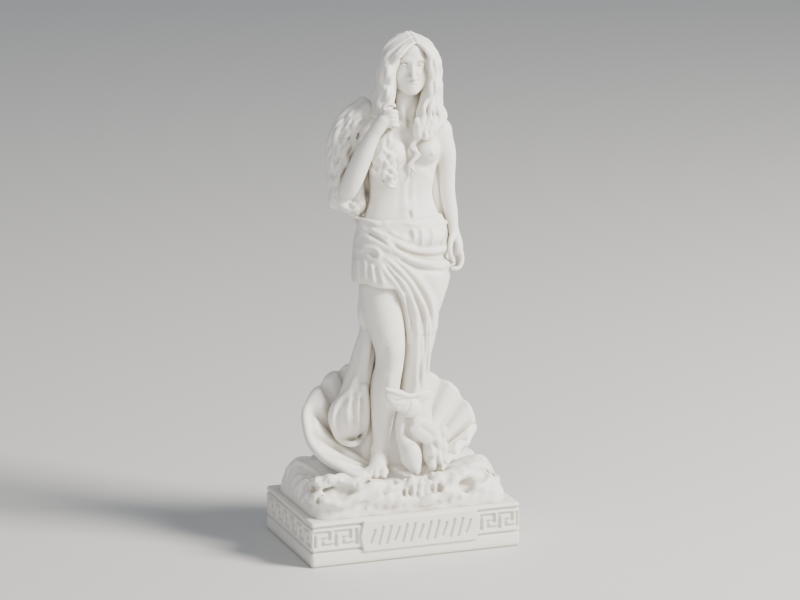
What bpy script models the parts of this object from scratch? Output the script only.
"""Aphrodite figurine: a draped goddess in a scallop shell on waves, cast in one with its plinth.

The plinth stands on z = 0 and is centred on the z axis. The goddess faces -Y.
Sizes are in metres. The figure is laid out in its own units, 129 of them from sole to crown,
so that one value sets the size of her body, hair and drapery together.
"""

import math

import bmesh
import bpy
from mathutils import Euler, Matrix, Vector

# Plinth
PLINTH_WIDTH = 0.0640
PLINTH_DEPTH = 0.0420
PLINTH_HEIGHT = 0.0132
PLINTH_EDGE = 0.0007

# Ornament cut into the plinth
CUT_DEPTH = 0.0006
LINE_WIDTH = 0.0006
LOWER_LINE_HEIGHT = 0.0045
UPPER_LINE_HEIGHT = 0.0117
KEY_HEIGHT = 0.0042
KEY_LENGTH = 0.0056
KEY_LINE_WIDTH = 0.0008
KEY_END_MARGIN = 0.0014

# Plaque on the front, a little right of its middle, with marks in place of an inscription
PLAQUE_MIDDLE = 0.0010
PLAQUE_WIDTH = 0.0350
PLAQUE_HEIGHT = 0.0092
PLAQUE_RELIEF = 0.0006
PLAQUE_POINT = 0.0008
MARK_COUNT = 13
MARK_HEIGHT = 0.0050
MARK_WIDTH = 0.0007
MARK_MARGIN = 0.0016
MARK_LEAN = math.radians(14)

# Waves
SEA_HEIGHT = 0.0078
SEA_MARGIN = 0.0020
SEA_CORNER = 0.0060
WAVE_SWELL = 0.0064
WAVE_EDGE = 0.0022
RIPPLE = 0.0011
WAVE_CURL_RADIUS = 0.0022

# Scallop shell
SHELL_WIDTH = 0.0565
SHELL_HEIGHT = 0.0305
SHELL_DEPTH = 0.0290
SHELL_THICKNESS = 0.0020
SHELL_SAG = 0.0062
SHELL_LIP = 0.0013
FLUTE_COUNT = 15
FLUTE_DEPTH = 0.0011

# Figure
FIGURE_HEIGHT = 0.1290
FIGURE_UNITS = 129
UNIT = FIGURE_HEIGHT / FIGURE_UNITS
SOLE_HEIGHT = PLINTH_HEIGHT + SEA_HEIGHT

# Casting
GRAIN = FIGURE_HEIGHT / 185
FACET_SHARE = 0.062
ROOT_DEPTH = 0.4 * PLINTH_HEIGHT
MERGE_DISTANCE = GRAIN / 500

ALABASTER_COLOUR = (0.84, 0.83, 0.79, 1.0)

# The body's sections, from the neck down: x, y, z, half width, half depth.
TORSO = (
    (5.4, 1.2, 112, 2.9, 2.8),
    (4.5, 1.2, 105.5, 3.1, 3.0),
    (4.1, 1.4, 102.6, 6.6, 3.9),
    (3.9, 1.1, 99.5, 10.6, 4.8),
    (3.7, 0.8, 96, 11.2, 5.5),
    (3.5, 0.5, 91.5, 10.6, 5.8),
    (3.3, 0.5, 87, 9.8, 5.6),
    (3.0, 0.7, 82, 9.4, 5.2),
    (3.0, 0.6, 78, 10.2, 5.6),
    (3.1, 0.6, 73, 12.0, 6.5),
    (3.2, 0.7, 66, 13.0, 7.2),
)
HIP_CLOTH = (
    (3.0, 0.5, 75.6, 12.4, 6.9),
    (3.1, 0.4, 72, 13.9, 7.8),
    (3.2, 0.5, 66, 14.5, 8.5),
    (3.6, 0.6, 60, 14.0, 8.7),
    (4.4, 0.9, 55.5, 12.6, 8.5),
)
LEFT_LEG_CLOTH = (
    (9.2, 0.2, 61, 8.2, 8.4),
    (9.2, -0.1, 53, 7.3, 8.0),
    (8.6, -0.4, 46, 5.9, 7.2),
    (8.2, -0.5, 40, 5.5, 6.8),
    (7.6, 0.3, 31, 4.6, 6.2),
    (7.8, 1.8, 20, 5.0, 6.2),
    (8.0, 2.8, 8, 6.2, 6.6),
    (8.0, 3.0, -1, 7.0, 7.4),
)
BACK_CLOTH = (
    (3.8, 4.2, 62, 12.0, 5.6),
    (3.3, 5.0, 50, 9.6, 5.2),
    (1.5, 5.6, 40, 9.0, 4.8),
    (0.6, 6.2, 28, 9.2, 4.8),
    (0.0, 6.6, 14, 11.0, 5.2),
    (0.0, 6.5, 0, 12.0, 5.6),
)

# Limbs, hair and folds are round strands: x, y, z, radius.
LIMBS = (
    # nose
    ((6.2, -6.3, 120.9, 0.7), (6.2, -7.2, 118.9, 0.7), (6.2, -7.7, 117.2, 0.9)),
    # brow, lips and chin
    ((3.0, -5.4, 121.3, 0.9), (6.2, -6.2, 121.7, 0.8), (9.4, -5.4, 121.3, 0.9)),
    ((4.9, -6.5, 114.9, 0.6), (6.2, -6.9, 114.8, 0.8), (7.5, -6.5, 114.9, 0.6)),
    ((5.4, -5.5, 112.5, 1.3), (7.0, -5.5, 112.5, 1.3)),
    # left arm, hanging to the cloth that she holds
    ((14.6, 1.0, 98.8, 3.8), (16.6, 0.9, 93, 3.1), (17.2, 1.0, 86.5, 2.5), (17.5, 0.9, 81, 2.3),
     (18.5, 0.1, 75, 2.1), (19.4, -1.1, 69, 1.7), (19.7, -2.2, 65.5, 1.9)),
    # right arm, bent up to her hair
    ((-6.6, 1.4, 98.6, 3.7), (-10.8, 1.0, 93, 3.2), (-13.8, -1.0, 86.8, 3.0), (-15.0, -3.7, 84, 2.9),
     (-13.6, -6.0, 88.6, 3.0), (-11.2, -8.0, 95.5, 2.6), (-8.8, -9.3, 101.4, 2.1)),
    # right leg, bare from the hem down
    ((-3.4, -1.0, 64, 6.6), (-4.3, -3.2, 52, 6.0), (-3.3, -4.9, 43, 5.1), (-2.4, -5.4, 36.5, 4.4),
     (-3.0, -4.6, 29, 3.9), (-3.8, -3.6, 21.5, 3.8), (-4.4, -3.0, 13.5, 2.8), (-5.1, -2.8, 6.5, 2.2),
     (-5.3, -2.4, 2.5, 2.3)),
)
HAIR = (
    ((3.6, -4.4, 126.2, 1.3), (0.0, -4.4, 123.8, 1.8), (-1.6, -3.6, 120.4, 1.9), (-0.8, -4.2, 116.4, 1.9),
     (-2.4, -4.0, 112.6, 2.0), (-1.6, -4.8, 109, 1.9), (-3.8, -6.6, 104.6, 1.6)),
    ((2.4, -1.2, 127, 1.6), (-2.4, -1.2, 122.6, 2.2), (-3.0, -1.0, 117, 2.4), (-4.6, -1.6, 112, 2.4),
     (-4.4, -2.6, 107.6, 2.4), (-6.0, -5.0, 103.6, 1.8)),
    ((-1.0, 0.8, 123, 2.2), (-3.2, 0.8, 116, 2.6), (-4.8, 0.8, 110, 3.0), (-6.0, 0.6, 106, 2.8)),
    ((6.2, -4.4, 126.2, 1.3), (9.2, -4.6, 123.6, 1.7), (10.6, -3.8, 120.2, 1.8), (10.0, -4.4, 116.2, 1.8),
     (11.0, -4.6, 112.2, 1.8), (9.6, -5.4, 108.4, 1.9), (10.8, -6.4, 104.4, 2.0), (9.4, -6.8, 100.6, 1.7)),
    ((7.6, -1.2, 127, 1.6), (11.4, -1.4, 122.4, 1.9), (11.6, -1.2, 116.6, 2.0), (12.4, -2.0, 111, 2.0),
     (12.0, -3.4, 105.8, 2.1), (13.2, -4.4, 100.6, 1.8), (12.0, -5.4, 96.4, 1.2)),
    ((10.6, 0.8, 123.5, 2.0), (11.8, 1.0, 116, 2.2), (12.4, 0.8, 109, 2.4), (13.2, -0.4, 103.5, 2.0)),
    ((8.4, -5.4, 106.6, 1.5), (5.8, -6.2, 103, 1.5), (4.4, -6.4, 99.4, 1.2), (5.2, -7.0, 95.6, 1.3),
     (3.2, -7.2, 92.2, 1.1), (3.4, -6.8, 89, 0.8)),
    ((-4.6, -9.2, 101, 1.4), (-4.8, -9.4, 97.6, 1.5), (-2.6, -9.2, 94.4, 1.5), (-3.4, -8.4, 91, 1.5),
     (-1.4, -7.6, 88, 1.4), (-2.9, -6.8, 84.8, 0.9)),
    ((-6.2, -8.4, 101, 1.3), (-7.6, -8.2, 97, 1.5), (-5.8, -7.8, 93.4, 1.5), (-7.0, -7.2, 90, 1.4),
     (-5.2, -6.8, 86.6, 1.0)),
    # down her back
    ((1.6, 5.2, 122, 3.4), (0.4, 6.4, 112, 3.6), (0.2, 6.6, 101, 3.4), (1.0, 7.2, 91, 2.6), (1.4, 7.6, 84, 1.4)),
    ((8.4, 5.2, 122, 3.4), (9.4, 6.2, 112, 3.6), (9.0, 6.6, 101, 3.4), (8.0, 7.2, 92, 2.6), (7.4, 7.4, 86, 1.4)),
    ((5.0, 6.2, 121, 3.6), (4.9, 7.4, 110, 3.6), (4.8, 7.4, 98, 3.4), (4.6, 7.8, 88, 2.6), (4.4, 8.2, 80, 1.2)),
)
CLOTH_FOLDS = (
    # rolled edge at the waist
    ((-10.6, -1.4, 75.4, 1.1), (-6.4, -5.2, 74.8, 1.2), (0.0, -6.7, 75.2, 1.2), (5.0, -6.8, 74.2, 1.2),
     (11.2, -5.2, 73.6, 1.1), (15.6, -1.6, 73.8, 1.0)),
    # roll that sweeps from her right hip to her left hand
    ((-10.6, -4.6, 73.2, 1.1), (-7.6, -6.9, 70, 1.6), (-3.4, -8.3, 66.2, 1.9), (1.5, -8.8, 62.8, 2.0),
     (7.2, -8.4, 60.6, 2.0), (12.6, -6.6, 59.8, 1.8), (17.0, -4.2, 59.4, 1.2)),
    ((-2.0, -8.2, 68.2, 0.9), (3.6, -8.6, 66.2, 1.1), (9.0, -7.8, 65.4, 1.1), (15.0, -4.6, 66, 0.9)),
    # long folds between the legs
    ((-7.6, -7.8, 67.6, 1.0), (-4.2, -8.6, 64.2, 1.4), (-0.4, -9.0, 60, 1.6), (3.2, -8.8, 55, 1.6),
     (6.0, -8.0, 48.6, 1.5), (8.6, -7.2, 42.6, 1.3), (10.4, -5.6, 37.6, 0.9)),
    ((-6.0, -8.8, 64.4, 1.0), (-2.2, -9.3, 60, 1.4), (0.6, -9.3, 55.4, 1.6), (3.0, -8.8, 49.6, 1.6),
     (4.8, -8.2, 43.4, 1.5), (6.4, -7.2, 37, 1.4), (8.2, -5.4, 31, 1.0)),
    ((-0.8, -9.2, 55.6, 1.2), (1.8, -8.8, 50, 1.4), (3.2, -8.2, 43.6, 1.4), (4.4, -7.4, 36, 1.4),
     (5.4, -6.4, 29, 1.2), (6.4, -5.2, 22, 1.0)),
    # gathered knot on her right hip, and its pleats
    ((-10.4, -6.2, 64.6, 1.2), (-8.8, -7.8, 66.4, 1.4), (-6.8, -8.6, 64.8, 1.4), (-7.4, -8.8, 61.6, 1.3)),
    ((-9.0, -7.6, 63, 1.2), (-9.4, -7.8, 59.6, 1.4), (-10.0, -6.6, 56.4, 1.2)),
    ((-6.8, -8.8, 62.6, 1.2), (-5.6, -9.6, 59.4, 1.5), (-4.4, -9.8, 56.4, 1.3)),
    # hem across the right thigh
    ((-10.2, -1.6, 54.8, 1.0), (-9.8, -5.8, 56.2, 1.2), (-8.2, -8.6, 57.6, 1.2), (-4.4, -9.8, 56.2, 1.2),
     (-1.0, -9.8, 55.8, 1.2)),
    # cloth that trails into the shell
    ((-4.6, 2.2, 54, 3.4), (-5.6, 2.6, 46, 3.5), (-6.6, 2.6, 40, 3.2), (-7.6, 2.4, 34, 3.4),
     (-9.6, 2.4, 28, 4.4), (-11.4, 2.0, 20, 5.8), (-11.6, 1.6, 13, 5.8), (-10.6, 0.6, 7, 4.2)),
    ((-7.6, -0.8, 40, 1.2), (-11.4, -1.6, 30, 1.4), (-16.4, -2.2, 21.4, 1.4), (-16.4, -2.8, 14, 1.4),
     (-12.6, -3.6, 8.6, 1.4), (-8.6, -3.4, 11, 1.2), (-7.4, -3.0, 18, 1.0)),
    # at the back
    ((-8.6, 4.8, 74, 1.4), (-4.0, 8.6, 70, 2.0), (4.0, 9.6, 66, 2.2), (11.4, 7.4, 64, 2.0), (16.0, 2.4, 62, 1.2)),
    ((-6.0, 7.6, 62, 1.2), (-5.4, 9.2, 50, 1.8), (-5.0, 9.8, 36, 1.8), (-6.4, 10.4, 20, 2.2), (-8.0, 10.6, 4, 2.4)),
    ((0.0, 9.2, 64, 1.2), (-0.4, 9.8, 50, 1.8), (-1.0, 10.2, 36, 1.8), (-0.8, 11.0, 20, 2.2), (-1.4, 11.4, 4, 2.4)),
    ((6.6, 8.8, 62, 1.2), (5.4, 9.4, 50, 1.8), (4.2, 9.8, 36, 1.8), (5.2, 10.4, 20, 2.2), (6.0, 10.8, 4, 2.4)),
)
CLOAK_FOLDS = (
    ((-5.8, 0.6, 106.5, 1.6), (-8.8, -1.0, 103.4, 1.9), (-10.4, -2.0, 98, 1.8), (-10.8, -2.4, 92, 1.5)),
    ((-7.0, 1.4, 107.6, 1.7), (-11.4, -0.2, 104.4, 2.0), (-13.6, -1.6, 98, 2.0), (-14.4, -2.0, 91.6, 1.6)),
    ((-8.4, 2.4, 107.6, 1.8), (-14.0, 1.4, 104, 2.1), (-16.6, 0.6, 97.4, 2.1), (-17.0, 0.4, 90.4, 1.7)),
    ((-8.6, 4.0, 106.6, 2.0), (-14.2, 4.0, 101.6, 2.4), (-15.6, 3.8, 94, 2.4), (-15.2, 3.4, 87, 2.0)),
    # bag of cloth behind the elbow, and its way back to the waist
    ((-17.2, 0.4, 86.4, 1.8), (-17.0, 0.2, 82.6, 2.3), (-14.6, 0.6, 79.2, 2.2), (-10.6, 2.2, 77.4, 2.4),
     (-6.4, 4.2, 76, 2.4)),
    ((-9.0, 3.6, 93, 3.2), (-10.8, 3.2, 86, 3.6), (-9.4, 3.6, 79, 3.2)),
    # web behind the hanging arm
    ((13.6, 3.4, 98, 2.6), (13.6, 3.6, 90, 3.0), (14.2, 3.4, 82, 3.0), (15.4, 2.8, 74, 2.6), (16.4, 1.6, 66, 2.2)),
    # across her back
    ((-9.4, 5.0, 103, 3.2), (-4.6, 6.4, 95, 3.2), (1.4, 6.4, 86, 3.0), (7.4, 6.0, 78, 3.0), (12.4, 4.2, 71, 2.6)),
    ((-11.6, 4.6, 97, 3.2), (-7.2, 6.4, 88, 3.2), (-1.6, 6.6, 80, 3.2), (4.4, 6.6, 73, 3.0)),
)
DOLPHIN_BODY = (
    (0.6, -10.8, 24.0, 1.3), (-0.4, -9.4, 20, 1.6), (-0.2, -8.6, 15.6, 2.2), (1.4, -8.6, 11, 3.1),
    (2.6, -9.4, 6.6, 3.5), (3.6, -11.2, 3.4, 2.6), (4.6, -13.0, 1.8, 1.4),
)
# Foam that rises out of the sea round the dolphin's head.
DOLPHIN_WASH = ((3.2, -10.2, 5.0, 2.4), (3.6, -11.4, 1.6, 2.8), (3.8, -11.8, -3.0, 3.4))
# Solid masses: centre, radii, turn about x, y and z in degrees.
MASSES = (
    ("skull", (5.0, 1.2, 121.2), (6.9, 7.2, 7.8), (0, 0, 0)),
    ("face", (6.2, -2.4, 117.9), (4.7, 4.8, 6.5), (0, 0, 0)),
    ("right_breast", (-1.3, -4.4, 94.8), (3.8, 3.5, 3.9), (0, 0, 0)),
    ("left_breast", (8.9, -4.4, 94.6), (3.8, 3.5, 3.9), (0, 0, 0)),
    ("belly", (3.2, -3.2, 75.5), (6.6, 3.4, 6.2), (0, 0, 0)),
    ("right_fist", (-6.3, -9.4, 105.0), (2.7, 2.1, 2.9), (0, 25, -20)),
    ("left_hand", (19.0, -3.4, 62.6), (1.5, 2.2, 3.2), (20, 0, 0)),
    ("right_foot", (-7.9, -6.2, 1.6), (2.3, 5.6, 1.8), (0, 0, -28)),
    ("right_instep", (-6.6, -4.2, 3.2), (2.1, 3.6, 2.4), (-22, 0, -28)),
    ("cloak_core", (-11.6, 2.6, 95.5), (5.4, 4.2, 12.0), (0, 18, 0)),
    ("elbow_bag", (-15.6, 0.8, 82.2), (3.6, 3.4, 4.6), (0, 0, 0)),
    ("right_fluke", (-1.8, -12.4, 23.0), (5.6, 1.4, 3.0), (0, 36, 0)),
    ("left_fluke", (4.2, -10.8, 25.4), (4.0, 1.4, 1.8), (0, 4, 0)),
    ("upper_fin", (7.0, -9.2, 15.6), (5.0, 1.5, 2.8), (0, -10, 0)),
    ("lower_fin", (10.0, -8.6, 11.8), (2.0, 1.5, 3.4), (0, -24, 0)),
    ("dolphin_cheek", (6.6, -9.4, 6.4), (3.0, 2.6, 3.0), (0, 0, 0)),
)

# The shell's rim from its front left to its front right: shares of its half width, depth and height.
SHELL_HINGE = (0.06, -0.22, 0.0)
SHELL_RIM = (
    (-0.38, -0.62, 0.05), (-0.65, -0.38, 0.16), (-0.84, -0.18, 0.28), (-0.93, 0.02, 0.48),
    (-0.93, 0.14, 0.64), (-0.82, 0.28, 0.82), (-0.61, 0.38, 0.95), (-0.32, 0.44, 1.0),
    (0.0, 0.47, 1.0), (0.32, 0.45, 0.97), (0.58, 0.40, 0.88), (0.83, 0.30, 0.72),
    (0.97, 0.18, 0.54), (1.0, 0.03, 0.36), (0.88, -0.12, 0.22), (0.66, -0.26, 0.12), (0.40, -0.44, 0.05),
)
SHELL_MIDDLE_Y = 0.0010

# Crests of the sea: x and y as shares of the half width and half depth, height share, length, width, turn.
CRESTS = (
    (-0.80, 0.28, 1.00, 0.46, 0.30, 84), (-0.84, -0.30, 0.50, 0.34, 0.22, 60), (-0.62, -0.66, 0.55, 0.22, 0.16, -50),
    (-0.34, -0.76, 0.42, 0.22, 0.14, -35), (0.06, -0.82, 0.30, 0.30, 0.14, 0), (0.40, -0.74, 0.50, 0.26, 0.16, -28),
    (0.66, -0.52, 0.60, 0.30, 0.16, -52), (0.84, -0.10, 0.62, 0.40, 0.20, -80), (0.78, 0.46, 0.62, 0.36, 0.22, 70),
    (-0.66, 0.70, 0.66, 0.32, 0.20, 30), (-0.20, 0.80, 0.44, 0.34, 0.18, 0), (0.34, 0.80, 0.50, 0.34, 0.18, 10),
)
# Foam curls on the sea: x and y as shares, height over the plinth in units, radius share.
CURLS = (
    (-0.58, -0.42, 8.4, 1.1), (-0.70, -0.60, 5.8, 1.0), (-0.44, -0.66, 5.6, 0.8), (0.26, -0.74, 6.6, 0.9),
    (0.60, -0.62, 7.4, 0.9), (0.80, -0.42, 7.6, 0.9), (-0.86, 0.02, 9.2, 1.0), (0.88, 0.16, 7.6, 0.9),
)


def clear_scene():
    for obj in list(bpy.data.objects):
        bpy.data.objects.remove(obj, do_unlink=True)


def new_collection(name):
    collection = bpy.data.collections.new(name)
    bpy.context.scene.collection.children.link(collection)
    return collection


def link_mesh(name, bm, collection):
    """Turns a bmesh into an object with outward faces."""
    bmesh.ops.recalc_face_normals(bm, faces=bm.faces)
    mesh = bpy.data.meshes.new(name)
    bm.to_mesh(mesh)
    bm.free()
    obj = bpy.data.objects.new(name, mesh)
    collection.objects.link(obj)
    return obj


def figure_point(x, y, z):
    """A point of the figure, given in its own units, as metres in the part's frame."""
    return Vector((x * UNIT, y * UNIT, SOLE_HEIGHT + z * UNIT))


def smooth_path(points, steps):
    """Points along the Catmull-Rom curve through points, steps to each span; extra values go along."""
    ends = [points[0], *points, points[-1]]
    path = []
    for before, start, end, after in zip(ends, ends[1:], ends[2:], ends[3:]):
        for step in range(steps):
            t = step / steps
            path.append([
                0.5 * (2 * b + (c - a) * t + (2 * a - 5 * b + 4 * c - d) * t**2
                       + (3 * b - a - 3 * c + d) * t**3)
                for a, b, c, d in zip(before, start, end, after)
            ])
    return path + [list(points[-1])]


def strand(name, points, collection):
    """A round strand whose radius changes along it, as a curve with a bevel, made a mesh."""
    curve = bpy.data.curves.new(name, "CURVE")
    curve.dimensions = "3D"
    curve.bevel_depth = UNIT
    curve.bevel_resolution = 3
    curve.use_fill_caps = True
    path = smooth_path(points, 3)
    spline = curve.splines.new("POLY")
    spline.points.add(len(path) - 1)
    for spline_point, (x, y, z, radius) in zip(spline.points, path):
        spline_point.co = (*figure_point(x, y, z), 1)
        spline_point.radius = radius
    guide = bpy.data.objects.new(name + "_guide", curve)
    collection.objects.link(guide)
    mesh = bpy.data.meshes.new_from_object(guide.evaluated_get(bpy.context.evaluated_depsgraph_get()))
    bpy.data.objects.remove(guide)
    bm = bmesh.new()
    bm.from_mesh(mesh)
    bpy.data.meshes.remove(mesh)
    bmesh.ops.remove_doubles(bm, verts=bm.verts, dist=GRAIN / 50)
    link_mesh(name, bm, collection)
    for x, y, z, radius in (points[0], points[-1]):
        mass(name + "_end", (x, y, z), (radius, radius, radius), (0, 0, 0), collection)


def mass(name, centre, radii, turn, collection):
    """An ellipsoid of the figure, in its units."""
    bm = bmesh.new()
    bmesh.ops.create_uvsphere(bm, u_segments=24, v_segments=16, radius=1)
    size = Matrix.Diagonal((*(UNIT * r for r in radii), 1))
    rotation = Euler([math.radians(a) for a in turn]).to_matrix().to_4x4()
    place = Matrix.Translation(figure_point(*centre))
    bmesh.ops.transform(bm, matrix=place @ rotation @ size, verts=bm.verts)
    return link_mesh(name, bm, collection)


def loft(name, sections, collection, sides=28):
    """A closed skin through level elliptical sections, for bodies whose section changes all along."""
    bm = bmesh.new()
    rings = []
    for x, y, z, half_width, half_depth in smooth_path(sections, 3):
        rings.append([
            bm.verts.new(figure_point(x + half_width * math.cos(a), y + half_depth * math.sin(a), z))
            for a in (math.tau * side / sides for side in range(sides))
        ])
    for upper, lower in zip(rings, rings[1:]):
        for side in range(sides):
            following = (side + 1) % sides
            bm.faces.new((upper[side], upper[following], lower[following], lower[side]))
    bm.faces.new(rings[0])
    bm.faces.new(rings[-1])
    return link_mesh(name, bm, collection)


def shell_point(rim_share, reach, flute):
    """A point of the bowl: from the hinge (reach 0) to the rim (reach 1), sagging away between them."""
    half = Vector((SHELL_WIDTH / 2, SHELL_DEPTH, SHELL_HEIGHT))
    origin = Vector((0, SHELL_MIDDLE_Y, SOLE_HEIGHT - SHELL_THICKNESS / 2))
    rim = smooth_path(SHELL_RIM, 8)
    place = rim_share * (len(rim) - 1)
    index = min(int(place), len(rim) - 2)
    along = Vector(rim[index]).lerp(Vector(rim[index + 1]), place - index)
    hinge = Vector(SHELL_HINGE)
    share = hinge.lerp(along, reach)
    point = origin + Vector(a * b for a, b in zip(share, half))
    outward = Vector((0.35 * along.x, 0.75, -0.55)).normalized()
    sag = SHELL_SAG * math.sin(math.pi * reach**0.8) * along.z**0.5
    return point + outward * (sag + flute * FLUTE_DEPTH * reach)


def make_shell(collection):
    """The scallop: flutes fan out from the hinge, and a Solidify gives the wall."""
    samples = 6
    columns = FLUTE_COUNT * samples
    rows = 12
    bm = bmesh.new()
    grid = [
        [
            bm.verts.new(shell_point(column / columns, 0.04 + 0.96 * row / rows,
                                     math.cos(math.tau * column / samples)))
            for row in range(rows + 1)
        ]
        for column in range(columns + 1)
    ]
    for left, right in zip(grid, grid[1:]):
        for row in range(rows):
            bm.faces.new((left[row], left[row + 1], right[row + 1], right[row]))
    shell = link_mesh("shell", bm, collection)
    foot = figure_point(0, 0, 0)
    rim = [(shell_point(share / 20, 1, 0) - foot) / UNIT for share in range(7)]
    swell = (0.6, 0.9, 1.0, 1.0, 0.9, 0.8, 0.6)
    strand("shell_lip", [(*point, share * SHELL_LIP / UNIT) for point, share in zip(rim, swell)], collection)
    wall = shell.modifiers.new("wall", "SOLIDIFY")
    wall.thickness = SHELL_THICKNESS
    wall.offset = 0
    return shell


def sea_level(x, y):
    """Height of the sea over the plinth's top: a steep-sided mound, crests on it and a ripple down its sides."""
    half_width = PLINTH_WIDTH / 2 - SEA_MARGIN
    half_depth = PLINTH_DEPTH / 2 - SEA_MARGIN
    corner = (abs(x) - half_width + SEA_CORNER, abs(y) - half_depth + SEA_CORNER)
    inset = SEA_CORNER - math.hypot(max(corner[0], 0), max(corner[1], 0)) - min(max(corner), 0)
    fade = 1 - min(1.0, max(0.0, 1 - inset / WAVE_EDGE)) ** 2
    u, v = x / half_width, y / half_depth
    mound = SEA_HEIGHT * (0.62 + 0.42 * math.exp(-2.6 * u**2 - 1.2 * v**2))
    crests = 0.0
    for crest_u, crest_v, height, length, width, turn in CRESTS:
        angle = math.radians(turn)
        along = (u - crest_u) * math.cos(angle) + (v - crest_v) * math.sin(angle)
        across = (v - crest_v) * math.cos(angle) - (u - crest_u) * math.sin(angle)
        crests = max(crests, height * math.exp(-(along / length) ** 2 - (across / width) ** 2))
    ripple = RIPPLE * math.sin(9 * math.atan2(v, u) + 5 * max(abs(u), abs(v))) * (u * u + v * v) ** 0.5
    return fade * (mound + WAVE_SWELL * crests + ripple)


def make_sea(collection):
    """The sea: a grid whose heights follow sea_level, closed by a block sunk in the plinth."""
    columns, rows = 64, 44
    bm = bmesh.new()
    bmesh.ops.create_grid(bm, x_segments=columns, y_segments=rows, size=0.5)
    for vert in bm.verts:
        vert.co.x *= PLINTH_WIDTH - 2 * SEA_MARGIN
        vert.co.y *= PLINTH_DEPTH - 2 * SEA_MARGIN
        vert.co.z = PLINTH_HEIGHT - GRAIN / 2 + sea_level(vert.co.x, vert.co.y)
    skirt = bmesh.ops.extrude_face_region(bm, geom=bm.faces[:])
    for vert in (item for item in skirt["geom"] if isinstance(item, bmesh.types.BMVert)):
        vert.co.z = PLINTH_HEIGHT - ROOT_DEPTH
    link_mesh("sea", bm, collection)
    for u, v, height, share in CURLS:
        radius = share * WAVE_CURL_RADIUS
        bm = bmesh.new()
        bmesh.ops.create_uvsphere(bm, u_segments=18, v_segments=12, radius=radius)
        centre = Vector((u * PLINTH_WIDTH / 2, v * PLINTH_DEPTH / 2, PLINTH_HEIGHT + height * UNIT - radius / 2))
        bmesh.ops.translate(bm, verts=bm.verts, vec=centre)
        link_mesh("curl", bm, collection)


def fuse(collection, name, material):
    """Joins every piece in the collection into one casting, smoothed and thinned to flat facets."""
    bm = bmesh.new()
    graph = bpy.context.evaluated_depsgraph_get()
    for piece in list(collection.objects):
        mesh = bpy.data.meshes.new_from_object(piece.evaluated_get(graph))
        mesh.transform(piece.matrix_world)
        bm.from_mesh(mesh)
        bpy.data.meshes.remove(mesh)
        bpy.data.objects.remove(piece)
    casting = link_mesh(name, bm, collection)
    casting.data.materials.append(material)
    remesh = casting.modifiers.new("fuse", "REMESH")
    remesh.mode = "VOXEL"
    remesh.voxel_size = GRAIN
    smooth = casting.modifiers.new("soften", "SMOOTH")
    smooth.factor = 0.5
    smooth.iterations = 3
    facets = casting.modifiers.new("facets", "DECIMATE")
    facets.ratio = FACET_SHARE
    return casting


def box(name, low, high, collection):
    """A box between two corners."""
    bm = bmesh.new()
    bmesh.ops.create_cube(bm, size=1)
    middle = (Vector(low) + Vector(high)) / 2
    size = Vector(high) - Vector(low)
    bmesh.ops.transform(bm, matrix=Matrix.Translation(middle) @ Matrix.Diagonal((*size, 1)), verts=bm.verts)
    return link_mesh(name, bm, collection)


def flat_outline(name, outline, depth, place, collection):
    """A flat closed outline, extruded by depth to each side of its plane and made a mesh."""
    curve = bpy.data.curves.new(name, "CURVE")
    curve.dimensions = "2D"
    curve.fill_mode = "BOTH"
    curve.extrude = depth
    spline = curve.splines.new("POLY")
    spline.points.add(len(outline) - 1)
    spline.use_cyclic_u = True
    for spline_point, (x, y) in zip(spline.points, outline):
        spline_point.co = (x, y, 0, 1)
    guide = bpy.data.objects.new(name + "_guide", curve)
    collection.objects.link(guide)
    mesh = bpy.data.meshes.new_from_object(guide.evaluated_get(bpy.context.evaluated_depsgraph_get()))
    bpy.data.objects.remove(guide)
    bm = bmesh.new()
    bm.from_mesh(mesh)
    bpy.data.meshes.remove(mesh)
    bmesh.ops.remove_doubles(bm, verts=bm.verts, dist=MERGE_DISTANCE)
    bmesh.ops.transform(bm, matrix=place, verts=bm.verts)
    return link_mesh(name, bm, collection)


def key_outline(count, length):
    """Outline of a running key drawn as one line of KEY_LINE_WIDTH: both sides of its square path."""
    low, high, middle = 0.0, KEY_HEIGHT - KEY_LINE_WIDTH, (KEY_HEIGHT - KEY_LINE_WIDTH) / 2
    path = []
    for unit in range(count):
        start = unit * length
        path += [(start, low), (start, high), (start + 0.68 * length, high), (start + 0.68 * length, middle),
                 (start + 0.34 * length, middle), (start + 0.34 * length, low)]
    path += [(count * length, low), (count * length, high)]
    half = KEY_LINE_WIDTH / 2
    sides = ([], [])
    for index, (x, y) in enumerate(path):
        before = path[max(index - 1, 0)]
        after = path[min(index + 1, len(path) - 1)]
        into = Vector((x - before[0], y - before[1]))
        out = Vector((after[0] - x, after[1] - y))
        into = into.normalized() if into.length else out.normalized()
        out = out.normalized() if out.length else into
        lead = half if index in (0, len(path) - 1) else 0
        along = (into if index else -out) * lead
        turn = Vector((-into.y, into.x)) + (Vector((-out.y, out.x)) if into.dot(out) < 0.5 else Vector((0, 0)))
        for side, sign in zip(sides, (half, -half)):
            side.append((x + along.x + sign * turn.x, y + along.y + sign * turn.y))
    return sides[0] + sides[1][::-1]


def key_cutter(name, middle, span, turn, out, collection):
    """A cutter for the keys on one side of the plinth, centred on middle and turned to face out."""
    count = max(1, int(span / KEY_LENGTH))
    length = (span - KEY_LINE_WIDTH) / count
    lower = (LOWER_LINE_HEIGHT + UPPER_LINE_HEIGHT - KEY_HEIGHT + KEY_LINE_WIDTH) / 2
    spot = Matrix.Rotation(turn, 4, "Z") @ Matrix.Translation((middle, -out, lower))
    face = spot @ Matrix.Rotation(math.pi / 2, 4, "X")
    place = face @ Matrix.Translation((-count * length / 2, 0, 0))
    return flat_outline(name, key_outline(count, length), CUT_DEPTH, place, collection)


def subtract(target, cutter):
    cut = target.modifiers.new(cutter.name, "BOOLEAN")
    cut.operation = "DIFFERENCE"
    cut.object = cutter


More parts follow.
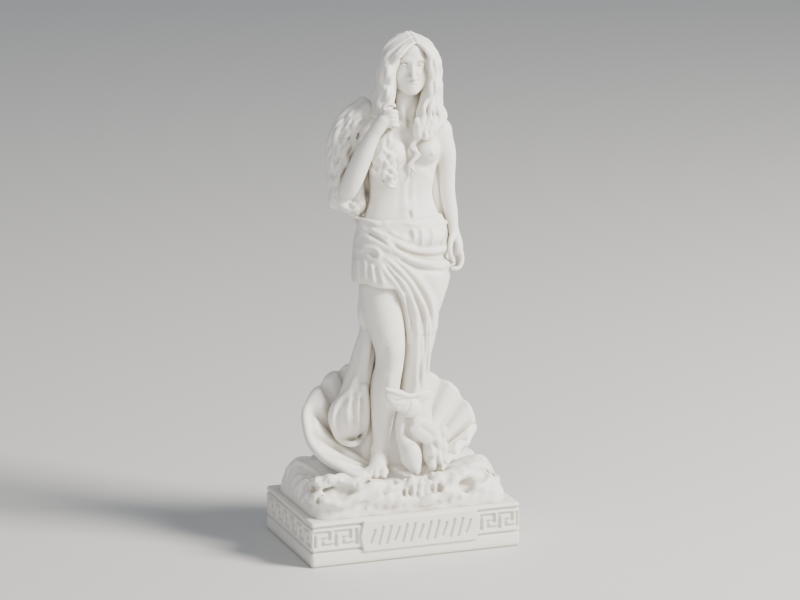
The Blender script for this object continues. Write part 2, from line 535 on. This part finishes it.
def make_plinth(collection):
    """The plinth: a block with softened edges, cut lines, running keys and a notched plaque."""
    half_width, half_depth = PLINTH_WIDTH / 2, PLINTH_DEPTH / 2
    plinth = box("plinth", (-half_width, -half_depth, 0), (half_width, half_depth, PLINTH_HEIGHT), collection)
    edge = plinth.modifiers.new("edge", "BEVEL")
    edge.width = PLINTH_EDGE
    edge.segments = 2

    cutters = []
    for name, height in (("lower_line", LOWER_LINE_HEIGHT), ("upper_line", UPPER_LINE_HEIGHT)):
        low, high = height - LINE_WIDTH / 2, height + LINE_WIDTH / 2
        outer = box(name, (-PLINTH_WIDTH, -PLINTH_DEPTH, low), (PLINTH_WIDTH, PLINTH_DEPTH, high), collection)
        inner = box(
            name + "_core", (-half_width + CUT_DEPTH, -half_depth + CUT_DEPTH, low - LINE_WIDTH),
            (half_width - CUT_DEPTH, half_depth - CUT_DEPTH, high + LINE_WIDTH), collection,
        )
        subtract(outer, inner)
        cutters.append(outer)
    plaque_left, plaque_right = PLAQUE_MIDDLE - PLAQUE_WIDTH / 2, PLAQUE_MIDDLE + PLAQUE_WIDTH / 2
    left_span = plaque_left + half_width - 2 * KEY_END_MARGIN
    right_span = half_width - plaque_right - 2 * KEY_END_MARGIN
    side_span = PLINTH_DEPTH - 2 * KEY_END_MARGIN
    quarter = math.pi / 2
    cutters += [
        key_cutter("front_left_keys", (plaque_left - half_width) / 2, left_span, 0, half_depth, collection),
        key_cutter("front_right_keys", (plaque_right + half_width) / 2, right_span, 0, half_depth, collection),
        key_cutter("left_keys", 0, side_span, -quarter, half_width, collection),
        key_cutter("right_keys", 0, side_span, quarter, half_width, collection),
    ]
    for cutter in cutters:
        subtract(plinth, cutter)

    plaque = make_plaque(collection)
    join = plinth.modifiers.new("plaque", "BOOLEAN")
    join.operation = "UNION"
    join.object = plaque
    for index in range(MARK_COUNT):
        subtract(plinth, make_mark(index, collection))
    return plinth


def make_plaque(collection):
    """A tablet with pointed ends that stands proud of the front."""
    half_width, half_height = PLAQUE_WIDTH / 2, PLAQUE_HEIGHT / 2
    outline = [
        (-half_width, -half_height), (half_width, -half_height), (half_width + PLAQUE_POINT, 0),
        (half_width, half_height), (-half_width, half_height), (-half_width - PLAQUE_POINT, 0),
    ]
    middle_height = (LOWER_LINE_HEIGHT + UPPER_LINE_HEIGHT) / 2
    centre = Matrix.Translation((PLAQUE_MIDDLE, -PLINTH_DEPTH / 2, middle_height))
    place = centre @ Matrix.Rotation(math.pi / 2, 4, "X")
    sunk = PLAQUE_RELIEF + CUT_DEPTH
    deep = Matrix.Translation((0, sunk - PLAQUE_RELIEF, 0))
    return flat_outline("plaque", outline, sunk, deep @ place, collection)


def make_mark(index, collection):
    """One shallow slanting stroke in the row that stands for the inscription."""
    pitch = (PLAQUE_WIDTH - 2 * MARK_MARGIN) / MARK_COUNT
    x = PLAQUE_MIDDLE + (index - (MARK_COUNT - 1) / 2) * pitch
    height = MARK_HEIGHT * (1 if index % 3 else 0.7)
    front = -PLINTH_DEPTH / 2 - PLAQUE_RELIEF
    mark = box("mark", (-MARK_WIDTH / 2, -CUT_DEPTH, -height / 2), (MARK_WIDTH / 2, CUT_DEPTH, height / 2), collection)
    lean = Matrix.Rotation(MARK_LEAN, 4, "Y")
    mark.data.transform(Matrix.Translation((x, front, (LOWER_LINE_HEIGHT + UPPER_LINE_HEIGHT) / 2)) @ lean)
    return mark


def make_figure(collection):
    for name, sections in (("torso", TORSO), ("hip_cloth", HIP_CLOTH), ("leg_cloth", LEFT_LEG_CLOTH),
                           ("back_cloth", BACK_CLOTH)):
        loft(name, sections, collection)
    for name, strands in (("limb", LIMBS), ("lock", HAIR), ("fold", CLOTH_FOLDS), ("cloak", CLOAK_FOLDS),
                          ("dolphin", (DOLPHIN_BODY, DOLPHIN_WASH))):
        for points in strands:
            strand(name, points, collection)
    for name, centre, radii, turn in MASSES:
        mass(name, centre, radii, turn, collection)


def alabaster():
    material = bpy.data.materials.new("cast_alabaster")
    material.use_nodes = True
    shader = material.node_tree.nodes["Principled BSDF"]
    shader.inputs["Base Color"].default_value = ALABASTER_COLOUR
    shader.inputs["Roughness"].default_value = 0.55
    material.diffuse_color = ALABASTER_COLOUR
    return material


def main():
    clear_scene()
    clay = new_collection("aphrodite_statue")
    cutters = new_collection("cutters")
    make_figure(clay)
    make_shell(clay)
    make_sea(clay)
    statue = fuse(clay, "aphrodite_statue", alabaster())
    plinth = make_plinth(cutters)
    join = statue.modifiers.new("plinth", "BOOLEAN")
    join.operation = "UNION"
    join.object = plinth
    for helper in cutters.objects:
        helper.hide_render = True
        helper.display_type = "WIRE"


main()
